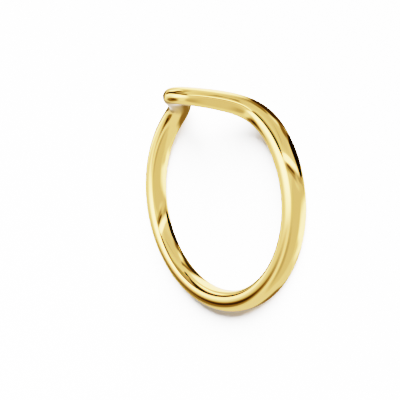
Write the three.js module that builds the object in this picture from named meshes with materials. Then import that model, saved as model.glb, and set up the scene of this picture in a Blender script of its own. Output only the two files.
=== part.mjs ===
// A plain curved wedding band, made in one piece. Millimetres, +Z up.
//
// The band lies on its back at Z = 0 with the finger hole along Z. Its head is at +Y, where the band
// sweeps forward (+Z) in one soft curve and back again, so that it can nest beside another ring.
// The section is rounded all round. Where the back would touch a table in one line, it has a narrow
// flat to rest on.
import * as THREE from "three";

// Driving dimensions.
const INNER_DIAMETER = 17.0; // the finger hole, about a medium ring size
const SHANK_WIDTH = 2.0; // along the finger, at the sides and the back
const HEAD_WIDTH = 2.15; // across the band, at the middle of the head
const SHANK_THICKNESS = 1.9; // from the finger hole to the crown
const HEAD_THICKNESS = 1.55;
const TAPER_REACH = 9.2; // arc length on either side of the head over which the section changes
const CURVE_DEPTH = 4.2; // how far the head stands forward of the shank
const CURVE_REACH = 3.65; // arc length at which the curve has fallen to 1/e of its depth
const CURVE_POWER = 2.2; // 2 is a plain bell; more gives a fuller tip and tighter shoulders

// The section's fullness: 2 is an ellipse, and more is boxier.
const OUTER_FULLNESS = { across: 2.7, outwards: 2.0 };
const INNER_FULLNESS = { across: 2.5, outwards: 2.4 };
const WIDEST_AT = 0.5; // share of the thickness at which the section is widest
const REST_FLAT = 0.985; // share of the half width at which the back is cut flat

// How finely the curves are divided.
const STATIONS = 152; // sections around the ring
const SECTION_SIDES = 25; // even sides of a section besides the flat

const INNER_RADIUS = INNER_DIAMETER / 2;
// The curve is laid out at mid thickness, where arc length and angle correspond.
const GUIDE_RADIUS = INNER_RADIUS + SHANK_THICKNESS / 2;
// The head is thinner than the back, so the middle of the ring's outer size is a little behind the
// finger axis. The part's origin is at that middle.
const FINGER_AXIS_Y = (SHANK_THICKNESS - HEAD_THICKNESS) / 2;
// The flat lies at Z = 0.
const SHANK_MIDDLE_Z = (REST_FLAT * SHANK_WIDTH) / 2;

const polishedGold = new THREE.MeshStandardMaterial({ color: 0xd8b25c, roughness: 0.08, metalness: 1.0 });

// How far forward of the shank the curve is, at an arc length from the middle of the head.
function curveOffset(arcLength) {
  return CURVE_DEPTH * Math.exp(-Math.pow(Math.abs(arcLength) / CURVE_REACH, CURVE_POWER));
}

// The slope of the curve, as an angle from the plain ring's direction.
function curveAngle(arcLength) {
  const share = Math.abs(arcLength) / CURVE_REACH;
  const fall = (curveOffset(arcLength) * CURVE_POWER * Math.pow(share, CURVE_POWER - 1)) / CURVE_REACH;
  return -Math.sign(arcLength) * Math.atan(fall);
}

// A size that eases from its value at the head to its value on the shank.
function tapered(headSize, shankSize, arcLength) {
  return THREE.MathUtils.lerp(headSize, shankSize, THREE.MathUtils.smoothstep(Math.abs(arcLength), 0, TAPER_REACH));
}

// A power of a sine or cosine that keeps its sign.
function signedPower(value, power) {
  return Math.sign(value) * Math.pow(Math.abs(value), power);
}

// The shank's section: x across the band from its middle to the front, y outwards from the finger hole.
// It starts at the flat on the back and runs round past the finger hole, the front and the crown.
class BandSection extends THREE.Curve {
  constructor() {
    super();
    this.arcLengthDivisions = 2000;
    this.startAngle = -Math.acos(-Math.pow(REST_FLAT, INNER_FULLNESS.across / 2));
    this.endAngle = Math.acos(-Math.pow(REST_FLAT, OUTER_FULLNESS.across / 2));
  }

  getPoint(share, target = new THREE.Vector2()) {
    const angle = THREE.MathUtils.lerp(this.startAngle, this.endAngle, share);
    const fullness = angle < 0 ? INNER_FULLNESS : OUTER_FULLNESS;
    const depth = SHANK_THICKNESS * (angle < 0 ? WIDEST_AT : 1 - WIDEST_AT);
    return target.set(
      (SHANK_WIDTH / 2) * signedPower(Math.cos(angle), 2 / fullness.across),
      SHANK_THICKNESS * WIDEST_AT + depth * signedPower(Math.sin(angle), 2 / fullness.outwards),
    );
  }
}

// Places the section on the ring, stretched from the shank's size to the size it has there. It is
// square to the curve, and its back stays on the curve's back edge, so that the shank lies flat
// however wide the head is.
function placeSection(sectionPoints, stationAngle) {
  const arcLength = stationAngle * GUIDE_RADIUS;
  const slope = curveAngle(arcLength);
  const width = tapered(HEAD_WIDTH, SHANK_WIDTH, arcLength);
  const thickness = tapered(HEAD_THICKNESS, SHANK_THICKNESS, arcLength);
  const backShift = (REST_FLAT * (width - SHANK_WIDTH)) / 2;
  return sectionPoints.map((point) => {
    const across = (point.x * width) / SHANK_WIDTH + backShift;
    const angle = (arcLength - Math.sin(slope) * across) / GUIDE_RADIUS;
    const radius = INNER_RADIUS + (point.y * thickness) / SHANK_THICKNESS;
    return new THREE.Vector3(
      radius * Math.sin(angle),
      radius * Math.cos(angle) + FINGER_AXIS_Y,
      SHANK_MIDDLE_Z + curveOffset(arcLength) + Math.cos(slope) * across,
    );
  });
}

// Joins a closed row of closed sections into one surface that faces outwards.
function loftRing(sections) {
  const sectionSize = sections[0].length;
  const triangles = [];
  sections.forEach((_, station) => {
    const here = station * sectionSize;
    const next = ((station + 1) % sections.length) * sectionSize;
    for (let point = 0; point < sectionSize; point += 1) {
      const following = (point + 1) % sectionSize;
      triangles.push(here + point, next + following, here + following);
      triangles.push(here + point, next + point, next + following);
    }
  });
  const geometry = new THREE.BufferGeometry().setFromPoints(sections.flat());
  geometry.setIndex(triangles);
  geometry.computeVertexNormals();
  return geometry;
}

function makeBand() {
  const sectionPoints = new BandSection().getSpacedPoints(SECTION_SIDES);
  const sections = Array.from({ length: STATIONS }, (_, station) => {
    // Angles run from -180 to 180 degrees with the head at 0.
    const turn = station / STATIONS;
    return placeSection(sectionPoints, (turn < 0.5 ? turn : turn - 1) * 2 * Math.PI);
  });
  const band = new THREE.Mesh(loftRing(sections), polishedGold);
  band.name = "band";
  return band;
}

const ring = new THREE.Group();
ring.add(makeBand());

export default ring;
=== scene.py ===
"""Dresses a curved wedding band in polished yellow gold, on a pale studio floor.

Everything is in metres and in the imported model's own frame. The band lies on its back at Z = 0 with
the finger hole along Z. Its head is at +Y, where the band sweeps forward along +Z in one soft curve
and back again.
"""

import logging
import math
from dataclasses import dataclass
from enum import Enum

import bpy
from mathutils import Matrix, Vector

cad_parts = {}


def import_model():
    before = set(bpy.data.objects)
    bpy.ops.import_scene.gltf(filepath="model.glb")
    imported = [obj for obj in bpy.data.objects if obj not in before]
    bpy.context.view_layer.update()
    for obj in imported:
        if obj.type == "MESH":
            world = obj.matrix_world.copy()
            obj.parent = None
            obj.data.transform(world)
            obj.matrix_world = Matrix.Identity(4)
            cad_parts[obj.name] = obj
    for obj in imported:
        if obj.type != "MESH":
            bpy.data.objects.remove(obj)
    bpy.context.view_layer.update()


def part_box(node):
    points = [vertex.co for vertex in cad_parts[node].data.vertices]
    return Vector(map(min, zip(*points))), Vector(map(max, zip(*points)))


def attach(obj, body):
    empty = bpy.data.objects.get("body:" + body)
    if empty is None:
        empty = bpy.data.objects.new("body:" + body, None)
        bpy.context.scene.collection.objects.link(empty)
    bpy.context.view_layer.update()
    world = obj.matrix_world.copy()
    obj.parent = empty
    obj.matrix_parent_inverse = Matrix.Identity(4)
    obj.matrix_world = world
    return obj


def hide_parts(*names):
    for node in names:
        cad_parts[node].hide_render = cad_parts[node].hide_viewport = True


LOG = logging.getLogger("wedding_band")

MILLIMETRE = 0.001
MICRON = 0.000001
CAD_NODE = "band"
ROOT_BODY = "root"
SECTION_ATTRIBUTE = "band_section"
VIEW_TRANSFORM = "Filmic"
VIEW_LOOK = "High Contrast"

# Where a colour Mix node keeps its two colours and its result, whose names its other kinds share.
MIX_START = 6
MIX_END = 7
MIX_RESULT = 2

Colour = tuple[float, float, float]


class Slot(Enum):
    """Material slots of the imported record."""

    YELLOW_GOLD = "yellow_gold"


class Operation(Enum):
    """Sums that a node can do with numbers."""

    ADD = "ADD"
    SUBTRACT = "SUBTRACT"
    MULTIPLY = "MULTIPLY"
    DIVIDE = "DIVIDE"
    POWER = "POWER"
    ABSOLUTE = "ABSOLUTE"
    EXPONENT = "EXPONENT"
    SIGN = "SIGN"
    SINE = "SINE"
    COSINE = "COSINE"
    ARCSINE = "ARCSINE"
    ARCTANGENT = "ARCTANGENT"
    ARCTANGENT_OF_TWO = "ARCTAN2"
    SQUARE_ROOT = "SQRT"
    GREATER_THAN = "GREATER_THAN"
    MAXIMUM = "MAXIMUM"
    WRAP = "WRAP"


@dataclass(frozen=True)
class Number:
    """A number inside a node tree. Arithmetic on it adds the nodes that work the result out."""

    tree: bpy.types.NodeTree
    socket: bpy.types.NodeSocket

    def worked(self, operation: Operation, *others: "Number | float") -> "Number":
        """Adds one math node.

        Args:
            operation: What the node does.
            others: The numbers that follow this one in the sum.

        Returns:
            The node's result.
        """
        node = self.tree.nodes.new("ShaderNodeMath")
        node.operation = operation.value
        for place, value in enumerate((self, *others)):
            feed(self.tree, node.inputs[place], value)
        return Number(self.tree, node.outputs[0])

    def __add__(self, other: "Number | float") -> "Number":
        """This number plus another."""
        return self.worked(Operation.ADD, other)

    def __sub__(self, other: "Number | float") -> "Number":
        """This number less another."""
        return self.worked(Operation.SUBTRACT, other)

    def __mul__(self, other: "Number | float") -> "Number":
        """This number times another."""
        return self.worked(Operation.MULTIPLY, other)

    def __truediv__(self, other: "Number | float") -> "Number":
        """This number divided by another."""
        return self.worked(Operation.DIVIDE, other)

    def __pow__(self, other: "Number | float") -> "Number":
        """This number raised to a power."""
        return self.worked(Operation.POWER, other)

    def __neg__(self) -> "Number":
        """This number with its sign turned."""
        return self.worked(Operation.MULTIPLY, -1.0)

    def __abs__(self) -> "Number":
        """This number without its sign."""
        return self.worked(Operation.ABSOLUTE)

    @staticmethod
    def of(tree: bpy.types.NodeTree, value: float) -> "Number":
        """A fixed number as a node."""
        node = tree.nodes.new("ShaderNodeValue")
        node.outputs[0].default_value = value
        return Number(tree, node.outputs[0])

    def signed_power(self, power: "Number | float") -> "Number":
        """This number raised to a power, with its sign kept."""
        return abs(self) ** power * self.worked(Operation.SIGN)

    def eased(
        self, start: "Number | float", end: "Number | float", low: "Number | float", high: "Number | float"
    ) -> "Number":
        """Eases smoothly from one value to another as this number goes from start to end.

        Args:
            start: Where the easing starts.
            end: Where it ends.
            low: The value at the start and before it.
            high: The value at the end and past it.

        Returns:
            The eased value.
        """
        node = self.tree.nodes.new("ShaderNodeMapRange")
        node.interpolation_type = "SMOOTHSTEP"
        names = ("Value", "From Min", "From Max", "To Min", "To Max")
        for name, value in zip(names, (self, start, end, low, high)):
            feed(self.tree, node.inputs[name], value)
        return Number(self.tree, node.outputs["Result"])


def feed(tree: bpy.types.NodeTree, socket: bpy.types.NodeSocket, value: object) -> None:
    """Links a number or a node's output to a socket, or sets the socket's own value.

    Args:
        tree: The tree that holds the socket.
        socket: The input to feed.
        value: A Number, an output socket, or a plain value.
    """
    if isinstance(value, Number):
        tree.links.new(value.socket, socket)
    elif isinstance(value, bpy.types.NodeSocket):
        tree.links.new(value, socket)
    else:
        socket.default_value = value


def add_node(
    tree: bpy.types.NodeTree, kind: str, inputs: dict[str, object] | None = None, **settings: object
) -> bpy.types.Node:
    """Adds a node with its settings and inputs.

    Args:
        tree: The tree that gets the node.
        kind: The node's type name.
        inputs: What feeds each input, by the input's name.
        settings: The node's own properties.

    Returns:
        The new node.
    """
    node = tree.nodes.new(kind)
    for name, value in settings.items():
        setattr(node, name, value)
    for name, value in (inputs or {}).items():
        feed(tree, node.inputs[name], value)
    return node


def split(tree: bpy.types.NodeTree, vector: bpy.types.NodeSocket) -> tuple[Number, Number, Number]:
    """Splits a vector into its three numbers."""
    node = add_node(tree, "ShaderNodeSeparateXYZ", {"Vector": vector})
    return tuple(Number(tree, output) for output in node.outputs)


def joined(tree: bpy.types.NodeTree, x: object, y: object, z: object) -> bpy.types.NodeSocket:
    """Joins three numbers into a vector."""
    return add_node(tree, "ShaderNodeCombineXYZ", {"X": x, "Y": y, "Z": z}).outputs["Vector"]


def chosen(switch: Number, if_on: Number, if_off: Number) -> Number:
    """Picks one of two numbers by a switch from 0 to 1."""
    return if_off + (if_on - if_off) * switch


def blended(tree: bpy.types.NodeTree, share: object, start: Colour, end: Colour) -> bpy.types.NodeSocket:
    """Blends two colours.

    Args:
        tree: The tree that gets the node.
        share: How far the blend has gone from the first colour to the second, from 0 to 1.
        start: The first colour.
        end: The second colour.

    Returns:
        The blended colour.
    """
    node = add_node(tree, "ShaderNodeMix", {"Factor": share}, data_type="RGBA")
    feed(tree, node.inputs[MIX_START], (*start, 1.0))
    feed(tree, node.inputs[MIX_END], (*end, 1.0))
    return node.outputs[MIX_RESULT]


@dataclass(frozen=True)
class PolishedGold:
    """Mirror polished 18 karat yellow gold, with the faint marks that a buffing wheel leaves."""

    tone: Colour = (1.0, 0.573, 0.172)
    deeper_tone: Colour = (0.99, 0.562, 0.162)
    edge_tint: Colour = (0.9, 0.83, 0.68)  # of what it mirrors at a glancing angle
    shine_roughness: float = 0.02
    cloud_roughness: float = 0.015
    mark_roughness: float = 0.035
    cloud_size: float = 2.2 * MILLIMETRE
    cloud_detail: float = 3.0
    cloud_grain: float = 0.55
    cloud_range: tuple[float, float] = (0.3, 0.7)  # of the noise, from no cloud to a full one
    mark_length: float = 3.5 * MILLIMETRE
    mark_width: float = 0.035 * MILLIMETRE
    mark_depth: float = 0.08 * MICRON
    mark_radius: float = 10.0 * MILLIMETRE  # how far from the finger's axis the marks have their length
    mark_detail: float = 2.0
    mark_grain: float = 0.6
    mark_range: tuple[float, float] = (0.6, 0.9)  # of the noise, from no dullness to the most

    def build(self) -> bpy.types.Material:
        """Makes the material.

        Returns:
            Gold whose tone and shine vary faintly, with fine marks that run along the band.
        """
        material = bpy.data.materials.new("polished_yellow_gold")
        material.use_nodes = True
        tree = material.node_tree
        tree.nodes.clear()
        clouds = self._clouds(tree)
        marks = self._buffing_marks(tree)
        dullness = marks.eased(*self.mark_range, 0.0, self.mark_roughness)
        roughness = clouds * self.cloud_roughness + dullness
        bump = add_node(
            tree, "ShaderNodeBump", {"Strength": 1.0, "Distance": self.mark_depth, "Height": marks}
        )
        surface = add_node(
            tree,
            "ShaderNodeBsdfPrincipled",
            {
                "Base Color": blended(tree, clouds, self.tone, self.deeper_tone),
                "Metallic": 1.0,
                "Roughness": roughness + self.shine_roughness,
                "Specular Tint": (*self.edge_tint, 1.0),
                "Normal": bump.outputs["Normal"],
            },
        )
        output = add_node(tree, "ShaderNodeOutputMaterial")
        tree.links.new(surface.outputs["BSDF"], output.inputs["Surface"])
        return material

    def _clouds(self, tree: bpy.types.NodeTree) -> Number:
        """Makes soft patches in which the polish is a little duller.

        Args:
            tree: The gold's tree.

        Returns:
            How dull the patch is, from 0 to 1.
        """
        coordinates = add_node(tree, "ShaderNodeTexCoord")
        noise = add_node(
            tree,
            "ShaderNodeTexNoise",
            {
                "Vector": coordinates.outputs["Object"],
                "Scale": 1.0 / self.cloud_size,
                "Detail": self.cloud_detail,
                "Roughness": self.cloud_grain,
            },
        )
        return Number(tree, noise.outputs["Fac"]).eased(*self.cloud_range, 0.0, 1.0)

    def _buffing_marks(self, tree: bpy.types.NodeTree) -> Number:
        """Makes hairlines that follow the band round, whatever the curve does.

        Args:
            tree: The gold's tree.

        Returns:
            How high the surface stands, from 0 to 1.
        """
        coordinates = add_node(tree, "ShaderNodeTexCoord")
        x, y, _ = split(tree, coordinates.outputs["Object"])
        section = add_node(tree, "ShaderNodeAttribute", attribute_name=SECTION_ATTRIBUTE)
        across, outwards, _ = split(tree, section.outputs["Vector"])
        radius = (x * x + y * y).worked(Operation.SQUARE_ROOT)
        turns = self.mark_radius / self.mark_length
        noise = add_node(
            tree,
            "ShaderNodeTexNoise",
            {
                "Vector": joined(tree, x / radius * turns, y / radius * turns, across / self.mark_width),
                "W": outwards / self.mark_width,
                "Scale": 1.0,
                "Detail": self.mark_detail,
                "Roughness": self.mark_grain,
            },
            noise_dimensions="4D",
        )
        return Number(tree, noise.outputs["Fac"])


@dataclass(frozen=True)
class Fullness:
    """How boxy one half of the band's section is. 2 both ways is half an ellipse, and more is boxier."""

    across: float
    outwards: float


@dataclass
class CurvedBand:
    """The gold band: a rounded section carried round the finger, bent forward and slimmed at the head."""

    inner_radius: float = 8.5 * MILLIMETRE
    shank_width: float = 2.0 * MILLIMETRE
    head_width: float = 2.15 * MILLIMETRE
    head_thickness: float = 1.55 * MILLIMETRE
    taper_reach: float = 9.2 * MILLIMETRE
    curve_reach: float = 3.65 * MILLIMETRE
    curve_power: float = 2.2
    outer_fullness: Fullness = Fullness(across=2.7, outwards=2.0)
    inner_fullness: Fullness = Fullness(across=2.5, outwards=2.4)
    widest_at: float = 0.5
    rest_flat: float = 0.985
    stations: int = 640
    section_points: int = 144
    outline_points: int = 2000  # of the section's outline, before its points are spread evenly
    mirrors_itself: bool = False  # off, so that the gold shows the room alone, without fine doubled lines
    finish: PolishedGold = PolishedGold()

    def __post_init__(self) -> None:
        """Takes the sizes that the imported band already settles."""
        low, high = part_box(CAD_NODE)
        self.shank_thickness = high.x - self.inner_radius
        self.finger_axis = low.y + self.inner_radius + self.shank_thickness
        self.shank_middle = self.rest_flat * self.shank_width / 2
        self.curve_depth = high.z - (self.rest_flat + 1.0) * self.head_width / 2

    def build(self) -> bpy.types.Object:
        """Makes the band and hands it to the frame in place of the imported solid.

        Returns:
            The band.
        """
        tree = self._tree()
        band = bpy.data.objects.new("curved_gold_band", bpy.data.meshes.new("curved_gold_band"))
        bpy.context.scene.collection.objects.link(band)
        modifier = band.modifiers.new("Band", "NODES")
        modifier.node_group = tree
        for name, value in self._sizes().items():
            modifier[tree.interface.items_tree[name].identifier] = value
        graph = bpy.context.evaluated_depsgraph_get()
        mesh = bpy.data.meshes.new_from_object(band.evaluated_get(graph), depsgraph=graph)
        band.modifiers.clear()
        band.data = mesh
        band.visible_glossy = self.mirrors_itself
        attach(band, ROOT_BODY)
        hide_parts(CAD_NODE)
        return band

    def _sizes(self) -> dict[str, float | int]:
        """The tree's named inputs and their values."""
        return {
            "Inner Radius": self.inner_radius,
            "Shank Width": self.shank_width,
            "Head Width": self.head_width,
            "Shank Thickness": self.shank_thickness,
            "Head Thickness": self.head_thickness,
            "Taper Reach": self.taper_reach,
            "Curve Depth": self.curve_depth,
            "Curve Reach": self.curve_reach,
            "Curve Power": self.curve_power,
            "Outer Fullness Across": self.outer_fullness.across,
            "Outer Fullness Outwards": self.outer_fullness.outwards,
            "Inner Fullness Across": self.inner_fullness.across,
            "Inner Fullness Outwards": self.inner_fullness.outwards,
            "Widest At": self.widest_at,
            "Rest Flat": self.rest_flat,
            "Finger Axis": self.finger_axis,
            "Outline Points": self.outline_points,
            "Section Points": self.section_points,
            "Stations": self.stations,
        }

    def _tree(self) -> bpy.types.NodeTree:
        """Lays out the node tree that makes the band from its sizes.

        Returns:
            The tree, whose only geometry is its output.
        """
        tree = bpy.data.node_groups.new("Curved band", "GeometryNodeTree")
        tree.interface.new_socket("Geometry", in_out="OUTPUT", socket_type="NodeSocketGeometry")
        for name, value in self._sizes().items():
            kind = "NodeSocketInt" if isinstance(value, int) else "NodeSocketFloat"
            tree.interface.new_socket(name, in_out="INPUT", socket_type=kind)
        entry = add_node(tree, "NodeGroupInput")
        size = {name: Number(tree, entry.outputs[name]) for name in self._sizes()}
        guide_radius = size["Inner Radius"] + size["Shank Thickness"] / 2.0
        hoop = self._plain_hoop(tree, size, guide_radius)
        across, outwards, arc = self._section_place(tree, size, guide_radius)
        marked = add_node(
            tree,
            "GeometryNodeStoreNamedAttribute",
            {"Geometry": hoop, "Name": SECTION_ATTRIBUTE, "Value": joined(tree, across, outwards, 0.0)},
            data_type="FLOAT_VECTOR",
            domain="POINT",
        )
        place = self._bent_place(tree, size, guide_radius, (across, outwards, arc))
        bent = add_node(tree, "GeometryNodeSetPosition", {"Geometry": marked.outputs[0], "Position": place})
        smooth = add_node(
            tree, "GeometryNodeSetShadeSmooth", {"Geometry": bent.outputs[0], "Shade Smooth": True}
        )
        real = add_node(tree, "GeometryNodeRealizeInstances", {"Geometry": smooth.outputs[0]})
        finish = self.finish.build()
        dressed = add_node(
            tree, "GeometryNodeSetMaterial", {"Geometry": real.outputs[0], "Material": finish}
        )
        leave = add_node(tree, "NodeGroupOutput")
        tree.links.new(dressed.outputs[0], leave.inputs["Geometry"])
        return tree

    def _plain_hoop(
        self, tree: bpy.types.NodeTree, size: dict[str, Number], guide_radius: Number
    ) -> bpy.types.NodeSocket:
        """Carries the shank's section round a flat circle.

        Args:
            tree: The band's tree.
            size: The tree's named inputs.
            guide_radius: Radius of the circle at mid thickness.

        Returns:
            A hoop of even width.
        """
        outline = add_node(
            tree,
            "GeometryNodeCurvePrimitiveCircle",
            {"Resolution": size["Outline Points"], "Radius": 1.0},
            mode="RADIUS",
        )
        outwards, across, _ = split(tree, add_node(tree, "GeometryNodeInputPosition").outputs["Position"])
        is_outer = outwards.worked(Operation.GREATER_THAN, 0.0)
        full_across = chosen(is_outer, size["Outer Fullness Across"], size["Inner Fullness Across"])
        full_outwards = chosen(is_outer, size["Outer Fullness Outwards"], size["Inner Fullness Outwards"])
        depth = chosen(is_outer, -size["Widest At"] + 1.0, size["Widest At"]) * size["Shank Thickness"]
        level = outwards.signed_power(Number.of(tree, 2.0) / full_outwards) * depth
        squared = joined(
            tree,
            level + (size["Widest At"] - 0.5) * size["Shank Thickness"],
            across.signed_power(Number.of(tree, 2.0) / full_across) * size["Shank Width"] / 2.0,
            0.0,
        )
        section = add_node(
            tree, "GeometryNodeSetPosition", {"Geometry": outline.outputs["Curve"], "Position": squared}
        )
        even = add_node(
            tree,
            "GeometryNodeResampleCurve",
            {"Curve": section.outputs["Geometry"], "Count": size["Section Points"]},
            mode="COUNT",
        )
        circle = add_node(
            tree,
            "GeometryNodeCurvePrimitiveCircle",
            {"Resolution": size["Stations"], "Radius": guide_radius},
            mode="RADIUS",
        )
        upright = add_node(
            tree, "GeometryNodeSetCurveNormal", {"Curve": circle.outputs["Curve"]}, mode="Z_UP"
        )
        hoop = add_node(
            tree,
            "GeometryNodeCurveToMesh",
            {"Curve": upright.outputs["Curve"], "Profile Curve": even.outputs["Curve"]},
        )
        return hoop.outputs["Mesh"]

    def _section_place(
        self, tree: bpy.types.NodeTree, size: dict[str, Number], guide_radius: Number
    ) -> tuple[Number, Number, Number]:
        """Reads where a point of the plain hoop lies in the shank's section.

        Args:
            tree: The band's tree.
            size: The tree's named inputs.
            guide_radius: Radius of the circle at mid thickness.

        Returns:
            The distance across the band from its middle with the back cut flat, the height above the
            finger hole, and the arc length from the middle of the head.
        """
        x, y, across = split(tree, add_node(tree, "GeometryNodeInputPosition").outputs["Position"])
        level = (x * x + y * y).worked(Operation.SQUARE_ROOT) - size["Inner Radius"]
        back = -(size["Rest Flat"] * size["Shank Width"] / 2.0)
        arc = x.worked(Operation.ARCTANGENT_OF_TWO, y) * guide_radius
        return across.worked(Operation.MAXIMUM, back), level, arc

    def _bent_place(
        self,
        tree: bpy.types.NodeTree,
        size: dict[str, Number],
        guide_radius: Number,
        section_place: tuple[Number, Number, Number],
    ) -> bpy.types.NodeSocket:
        """Bends the hoop forward at the head and slims it there, with its back on the curve's back edge.

        Args:
            tree: The band's tree.
            size: The tree's named inputs.
            guide_radius: Radius of the circle at mid thickness.
            section_place: The distance across the shank's section, the height in it, and the arc
                length from the middle of the head.

        Returns:
            The point's place on the finished band.
        """
        across, outwards, arc = section_place
        distance = abs(arc)
        share = distance / size["Curve Reach"]
        offset = (-(share ** size["Curve Power"])).worked(Operation.EXPONENT) * size["Curve Depth"]
        fall = offset * size["Curve Power"] / size["Curve Reach"] * share ** (size["Curve Power"] - 1.0)
        slope = -(arc.worked(Operation.SIGN) * fall.worked(Operation.ARCTANGENT))
        width = distance.eased(0.0, size["Taper Reach"], size["Head Width"], size["Shank Width"])
        thickness = distance.eased(0.0, size["Taper Reach"], size["Head Thickness"], size["Shank Thickness"])
        back_shift = (width - size["Shank Width"]) * size["Rest Flat"] / 2.0
        place_across = across * width / size["Shank Width"] + back_shift
        radius = outwards * thickness / size["Shank Thickness"] + size["Inner Radius"]
        angle = (arc - slope.worked(Operation.SINE) * place_across) / guide_radius
        middle = size["Rest Flat"] * size["Shank Width"] / 2.0
        return joined(
            tree,
            radius * angle.worked(Operation.SINE),
            radius * angle.worked(Operation.COSINE) + size["Finger Axis"],
            middle + offset + slope.worked(Operation.COSINE) * place_across,
        )


@dataclass
class StudioFloor:
    """The pale matte floor that the band lies on."""

    half_side: float = 1.5
    tone: Colour = (0.90, 0.90, 0.905)
    grain_tone: Colour = (0.885, 0.885, 0.89)
    grain_size: float = 12.0 * MILLIMETRE
    grain_detail: float = 2.0
    roughness: float = 0.5

    def build(self) -> bpy.types.Object:
        """Makes the floor at Z = 0.

        Returns:
            The floor, which the gold doesn't mirror.
        """
        mesh = bpy.data.meshes.new("studio_floor")
        reach = self.half_side
        corners = [(-reach, -reach, 0.0), (reach, -reach, 0.0), (reach, reach, 0.0), (-reach, reach, 0.0)]
        mesh.from_pydata(corners, [], [(0, 1, 2, 3)])
        mesh.materials.append(self._finish())
        floor = bpy.data.objects.new("studio_floor", mesh)
        bpy.context.scene.collection.objects.link(floor)
        floor.visible_glossy = False
        return floor

    def _finish(self) -> bpy.types.Material:
        """Makes the floor's material.

        Returns:
            Matte paper with a barely seen mottle.
        """
        material = bpy.data.materials.new("studio_paper")
        material.use_nodes = True
        tree = material.node_tree
        tree.nodes.clear()
        coordinates = add_node(tree, "ShaderNodeTexCoord")
        noise = add_node(
            tree,
            "ShaderNodeTexNoise",
            {
                "Vector": coordinates.outputs["Object"],
                "Scale": 1.0 / self.grain_size,
                "Detail": self.grain_detail,
            },
        )
        tone = blended(tree, noise.outputs["Fac"], self.tone, self.grain_tone)
        surface = add_node(tree, "ShaderNodeBsdfDiffuse", {"Color": tone, "Roughness": self.roughness})
        output = add_node(tree, "ShaderNodeOutputMaterial")
        tree.links.new(surface.outputs["BSDF"], output.inputs["Surface"])
        return material


@dataclass(frozen=True)
class Board:
    """A soft-edged board of the studio, bright or dark, placed as seen from the band when it stands upright.

    The turn goes round the head-to-foot axis from straight in front towards the right, and the lift
    goes up towards the head. All angles are in degrees.
    """

    name: str
    turn: float
    lift: float
    half_width: float
    half_height: float
    level: float  # its brightness
    softness: float = 0.3  # share of its size over which its edge fades
    slant: float = 0.0  # how far it leans to the right for each degree of lift
    fall: float = 0.0  # how far it drops for each degree to the right
    arch: float = 0.0  # how far its ends hang below its middle

    def inputs(self) -> dict[str, float]:
        """The board's values by the names of the board group's inputs."""
        return {
            "Board Turn": self.turn,
            "Board Lift": self.lift,
            "Half Width": self.half_width,
            "Half Height": self.half_height,
            "Board Level": self.level,
            "Softness": self.softness,
            "Slant": self.slant,
            "Fall": self.fall,
            "Arch": self.arch,
        }


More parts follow.
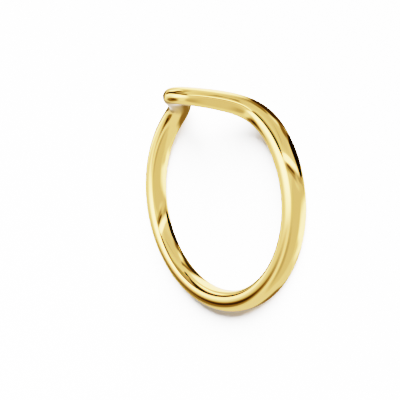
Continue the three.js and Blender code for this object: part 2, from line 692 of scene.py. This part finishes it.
STUDIO_BOARDS: tuple[Board, ...] = (
    Board(name="ceiling", turn=94.0, lift=60.0, half_width=65.0, half_height=22.0, level=1.25, softness=0.4),
    Board(
        name="ceiling_line", turn=64.0, lift=57.0, half_width=4.0, half_height=13.0, level=0.5,
        softness=0.5, slant=1.1,
    ),
    Board(
        name="far_glow", turn=-131.0, lift=35.0, half_width=26.0, half_height=31.0, level=5.0,
        softness=0.35,
    ),
    Board(
        name="back_card", turn=-131.0, lift=-28.0, half_width=16.0, half_height=16.0, level=0.9,
        softness=0.5,
    ),
    Board(
        name="back_left_card", turn=-109.0, lift=-22.0, half_width=11.0, half_height=12.0, level=0.6,
        softness=0.5,
    ),
    Board(
        name="far_left_glow", turn=-75.0, lift=46.0, half_width=13.0, half_height=17.0, level=4.8,
        softness=0.35, slant=0.5,
    ),
    Board(
        name="sky_band", turn=75.0, lift=33.5, half_width=66.0, half_height=4.0, level=5.5, softness=0.4,
        arch=15.5,
    ),
    Board(
        name="front", turn=73.0, lift=-25.0, half_width=68.0, half_height=49.0, level=1.18, softness=0.1,
        slant=0.5, arch=12.0,
    ),
    Board(
        name="front_shade", turn=11.0, lift=-37.0, half_width=16.0, half_height=17.0, level=0.72,
        softness=0.7, slant=0.3,
    ),
    Board(
        name="right_sheen", turn=108.0, lift=13.5, half_width=20.0, half_height=4.0, level=1.8,
        softness=0.6, fall=0.2,
    ),
    Board(
        name="front_line_shadow", turn=63.0, lift=22.6, half_width=54.0, half_height=3.4, level=0.5,
        softness=0.5, arch=9.0,
    ),
    Board(
        name="front_line", turn=69.0, lift=25.3, half_width=42.0, half_height=1.9, level=0.15, softness=0.4,
        arch=4.6,
    ),
    Board(
        name="front_line_tail", turn=146.0, lift=8.0, half_width=21.0, half_height=2.6, level=0.6,
        softness=0.5, fall=0.45,
    ),
    Board(
        name="left_window_foot", turn=-12.0, lift=-25.0, half_width=12.0, half_height=17.0, level=2.1,
        softness=0.5, slant=0.8,
    ),
    Board(
        name="left_window", turn=-34.0, lift=3.0, half_width=46.0, half_height=14.0, level=4.0,
        softness=0.2, slant=0.35, arch=6.0,
    ),
    Board(
        name="left_window_core", turn=-17.0, lift=4.0, half_width=23.0, half_height=10.0, level=6.5,
        softness=0.6,
    ),
    Board(
        name="left_window_dim", turn=-63.0, lift=-8.0, half_width=20.0, half_height=5.0, level=1.8,
        softness=0.6,
    ),
    Board(
        name="low_left_card", turn=-58.0, lift=-28.0, half_width=30.0, half_height=15.0, level=0.3,
        softness=0.35, slant=0.8, fall=0.12,
    ),
    Board(
        name="low_left_core", turn=-49.0, lift=-24.0, half_width=10.0, half_height=6.0, level=0.06,
        softness=0.4,
    ),
    Board(
        name="left_grey", turn=-23.0, lift=40.0, half_width=20.0, half_height=15.0, level=0.6, softness=0.4,
    ),
    Board(
        name="left_grey_edge", turn=1.0, lift=31.0, half_width=13.0, half_height=7.0, level=0.8,
        softness=0.4,
    ),
    Board(name="left_beam", turn=-22.0, lift=23.4, half_width=32.0, half_height=5.6, level=0.1, softness=0.2),
    Board(
        name="left_beam_tail", turn=-63.0, lift=22.5, half_width=20.0, half_height=8.5, level=0.01,
        softness=0.22, fall=-0.6,
    ),
    Board(name="left_knot", turn=-1.0, lift=22.0, half_width=12.5, half_height=5.8, level=0.02, softness=0.2),
    Board(
        name="left_brace", turn=-44.0, lift=41.0, half_width=9.5, half_height=22.0, level=0.06,
        softness=0.25, slant=0.25,
    ),
    Board(name="brace_top", turn=-30.0, lift=69.0, half_width=14.0, half_height=10.0, level=0.05),
    Board(
        name="far_left_card", turn=-99.0, lift=34.0, half_width=12.0, half_height=22.0, level=1.5,
        softness=0.2, slant=0.3,
    ),
    Board(
        name="far_left_step", turn=-98.0, lift=5.0, half_width=8.0, half_height=13.0, level=0.03,
        softness=0.3,
    ),
    Board(
        name="far_left_foot", turn=-107.0, lift=-3.0, half_width=9.0, half_height=6.0, level=0.4,
        softness=0.4,
    ),
    Board(
        name="right_window", turn=169.0, lift=-17.0, half_width=41.0, half_height=19.5, level=4.5,
        softness=0.35, fall=-0.16,
    ),
    Board(
        name="right_window_foot", turn=135.0, lift=-37.0, half_width=13.0, half_height=7.0, level=1.5,
        softness=0.6,
    ),
    Board(
        name="right_window_edge", turn=-169.0, lift=-27.0, half_width=22.0, half_height=4.5, level=1.6,
        softness=0.6, fall=-0.35,
    ),
    Board(
        name="back_right_card", turn=-145.0, lift=-9.0, half_width=8.0, half_height=14.0, level=0.35,
        softness=0.4,
    ),
    Board(
        name="right_shade", turn=159.0, lift=4.0, half_width=15.0, half_height=6.5, level=0.9, softness=0.6,
    ),
    Board(
        name="right_card", turn=158.0, lift=24.5, half_width=17.5, half_height=14.0, level=0.01,
        softness=0.12, slant=0.3,
    ),
    Board(
        name="right_card_wing", turn=167.0, lift=21.0, half_width=17.0, half_height=11.0, level=0.01,
        softness=0.15, slant=-0.4,
    ),
    Board(
        name="right_card_foot", turn=168.0, lift=12.0, half_width=13.0, half_height=5.0, level=0.02,
        softness=0.2,
    ),
    Board(
        name="right_card_tail", turn=-171.0, lift=12.0, half_width=28.0, half_height=7.5, level=0.03,
        softness=0.25, fall=0.4,
    ),
    Board(
        name="right_grey", turn=167.0, lift=41.0, half_width=17.0, half_height=6.0, level=0.25,
        softness=0.4, fall=0.1,
    ),
    Board(
        name="far_right_frame", turn=-162.0, lift=34.0, half_width=18.0, half_height=20.0, level=0.06,
        softness=0.25, slant=-0.4,
    ),
    Board(
        name="far_right_gap", turn=-159.0, lift=22.0, half_width=4.0, half_height=8.0, level=0.5,
        softness=0.5, slant=-0.4,
    ),
    Board(
        name="high_card", turn=-178.0, lift=64.0, half_width=26.0, half_height=7.0, level=0.3, softness=0.4,
        fall=0.45,
    ),
    Board(name="high_spot", turn=168.0, lift=53.0, half_width=6.0, half_height=5.0, level=3.0, softness=0.7),
    Board(
        name="low_right_card", turn=-151.0, lift=-36.0, half_width=12.0, half_height=18.0, level=0.3,
        softness=0.4, slant=0.5,
    ),
)


@dataclass
class StudioLight:
    """The studio: a bright room of soft boards, which the gold mirrors, and a wide light for the floor."""

    room_level: float = 1.65
    boards: tuple[Board, ...] = STUDIO_BOARDS
    board_tone: Colour = (0.8, 0.8, 0.8)
    dark_tone: Colour = (0.83, 0.66, 0.15)  # of a black board, which mirrors warm
    neutral_level: float = 0.7  # the brightness from which a board has no tint
    corner_power: float = 3.0  # how square the boards are
    backdrop_level: float = 4.6
    fill_level: float = 0.4
    key_level: float = 85.0
    key_spread: float = math.radians(60.0)
    key_place: tuple[float, float, float] = (1.4, 2.4, 1.0)

    def build(self) -> list[bpy.types.ID]:
        """Makes the room and its lamp.

        Returns:
            The world and the lamp.
        """
        return [self._room(), self._key_lamp()]

    def _room(self) -> bpy.types.World:
        """Makes the room.

        Returns:
            The room as the gold mirrors it, with a pale backdrop and a soft fill for everything else.
        """
        world = bpy.data.worlds.new("studio_room")
        bpy.context.scene.world = world
        world.use_nodes = True
        # The gold mirrors the boards and the floor doesn't see them, so rays are followed, not lamps sampled.
        world.cycles.sampling_method = "NONE"
        tree = world.node_tree
        tree.nodes.clear()
        side, head, front = split(tree, add_node(tree, "ShaderNodeTexCoord").outputs["Generated"])
        turn = side.worked(Operation.ARCTANGENT_OF_TWO, front) * math.degrees(1.0)
        lift = head.worked(Operation.ARCSINE) * math.degrees(1.0)
        board_tree = self._board_tree()
        level: bpy.types.NodeSocket | float = self.room_level
        for board in self.boards:
            node = add_node(tree, "ShaderNodeGroup", node_tree=board_tree, label=board.name)
            for name, value in {"Turn": turn, "Lift": lift, "Level": level, **board.inputs()}.items():
                feed(tree, node.inputs[name], value)
            level = node.outputs["Level"]
        path = add_node(tree, "ShaderNodeLightPath")
        neutral = Number(tree, level).eased(0.0, self.neutral_level, 0.0, 1.0)
        tone = blended(tree, neutral, self.dark_tone, self.board_tone)
        room = add_node(tree, "ShaderNodeBackground", {"Color": tone, "Strength": level})
        fill = add_node(tree, "ShaderNodeBackground", {"Strength": self.fill_level})
        backdrop = add_node(tree, "ShaderNodeBackground", {"Strength": self.backdrop_level})
        mirrored = self._mixed(tree, path.outputs["Is Glossy Ray"], fill, room)
        seen = self._mixed(tree, path.outputs["Is Camera Ray"], mirrored, backdrop)
        output = add_node(tree, "ShaderNodeOutputWorld")
        tree.links.new(seen.outputs[0], output.inputs["Surface"])
        return world

    def _mixed(
        self,
        tree: bpy.types.NodeTree,
        share: bpy.types.NodeSocket,
        if_off: bpy.types.Node,
        if_on: bpy.types.Node,
    ) -> bpy.types.Node:
        """Mixes two shaders.

        Args:
            tree: The room's tree.
            share: How much of the second shader there is, from 0 to 1.
            if_off: The first shader.
            if_on: The second shader.

        Returns:
            The mix.
        """
        mix = add_node(tree, "ShaderNodeMixShader", {"Fac": share})
        tree.links.new(if_off.outputs[0], mix.inputs[1])
        tree.links.new(if_on.outputs[0], mix.inputs[2])
        return mix

    def _board_tree(self) -> bpy.types.NodeTree:
        """Lays out the group that puts one board in front of what is already there.

        Returns:
            A shader group from a level and a direction to the level with the board.
        """
        tree = bpy.data.node_groups.new("Studio board", "ShaderNodeTree")
        names = ["Turn", "Lift", "Level", *self.boards[0].inputs()]
        for name in names:
            tree.interface.new_socket(name, in_out="INPUT", socket_type="NodeSocketFloat")
        tree.interface.new_socket("Level", in_out="OUTPUT", socket_type="NodeSocketFloat")
        entry = add_node(tree, "NodeGroupInput")
        given = {name: Number(tree, entry.outputs[name]) for name in names}
        above = given["Lift"] - given["Board Lift"]
        along = (given["Turn"] - given["Board Turn"]).worked(Operation.WRAP, 180.0, -180.0)
        along = along - given["Slant"] * above
        wide = abs(along / given["Half Width"])
        high = abs((above + given["Fall"] * along + given["Arch"] * wide * wide) / given["Half Height"])
        edge = (wide**self.corner_power + high**self.corner_power) ** (1.0 / self.corner_power)
        cover = edge.eased(-given["Softness"] + 1.0, given["Softness"] + 1.0, 1.0, 0.0)
        leave = add_node(tree, "NodeGroupOutput")
        feed(tree, leave.inputs["Level"], chosen(cover, given["Board Level"], given["Level"]))
        return tree

    def _key_lamp(self) -> bpy.types.Object:
        """Makes the lamp.

        Returns:
            A wide light that falls on the floor from beyond the head. The gold doesn't mirror it.
        """
        lamp = bpy.data.lights.new("key_lamp", "SUN")
        lamp.energy = self.key_level
        lamp.angle = self.key_spread
        holder = bpy.data.objects.new("key_lamp", lamp)
        towards_floor = -Vector(self.key_place)
        holder.rotation_euler = towards_floor.to_track_quat("-Z", "Y").to_euler()
        holder.visible_glossy = False
        bpy.context.scene.collection.objects.link(holder)
        return holder


@dataclass
class StudioCamera:
    """The camera, set round the band as if the band stood upright on its foot with its head on top."""

    turn: float = math.radians(49.05)  # round the head-to-foot axis, from straight in front
    lift: float = math.radians(8.3)  # above the band's waist
    roll: float = math.radians(-0.43)
    distance: float = 79.66 * MILLIMETRE
    aim_right: float = -1.69 * MILLIMETRE
    aim_up: float = -0.235 * MILLIMETRE
    lens: float = 79.2
    sensor: float = 36.0
    clip_start: float = 1.0 * MILLIMETRE
    clip_end: float = 10.0

    def build(self, centre: Vector) -> bpy.types.Object:
        """Makes the camera and makes it the scene's own.

        Args:
            centre: The middle of the finger hole, which the distance is measured from.

        Returns:
            The camera.
        """
        side, head, forward = Vector((1.0, 0.0, 0.0)), Vector((0.0, 1.0, 0.0)), Vector((0.0, 0.0, 1.0))
        level = side * math.sin(self.turn) + forward * math.cos(self.turn)
        back = level * math.cos(self.lift) + head * math.sin(self.lift)
        right = head.cross(back).normalized()
        up = back.cross(right)
        turned_right = right * math.cos(self.roll) + up * math.sin(self.roll)
        turned_up = up * math.cos(self.roll) - right * math.sin(self.roll)
        place = centre + back * self.distance
        aim = centre + turned_right * self.aim_right + turned_up * self.aim_up
        away = (place - aim).normalized()
        level_right = turned_up.cross(away).normalized()
        axes = Matrix((level_right, away.cross(level_right), away)).transposed()
        data = bpy.data.cameras.new("studio_camera")
        data.lens = self.lens
        data.sensor_width = self.sensor
        data.clip_start = self.clip_start
        data.clip_end = self.clip_end
        camera = bpy.data.objects.new("studio_camera", data)
        camera.matrix_world = Matrix.Translation(place) @ axes.to_4x4()
        bpy.context.scene.collection.objects.link(camera)
        bpy.context.scene.camera = camera
        return camera


def main() -> None:
    """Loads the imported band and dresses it."""
    logging.basicConfig(level=logging.INFO, format="%(name)s: %(message)s")
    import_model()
    band = CurvedBand()
    piece = band.build()
    LOG.info("%s: %d faces", piece.name, len(piece.data.polygons))
    floor = StudioFloor().build()
    LOG.info("%s: %.1f m wide", floor.name, floor.dimensions.x)
    for lit in StudioLight().build():
        LOG.info("%s", lit.name)
    camera = StudioCamera().build(Vector((0.0, band.finger_axis, band.shank_middle)))
    LOG.info("%s: %.0f mm lens", camera.name, camera.data.lens)
    bpy.context.scene.view_settings.view_transform = VIEW_TRANSFORM
    bpy.context.scene.view_settings.look = VIEW_LOOK


if __name__ == "__main__":
    main()
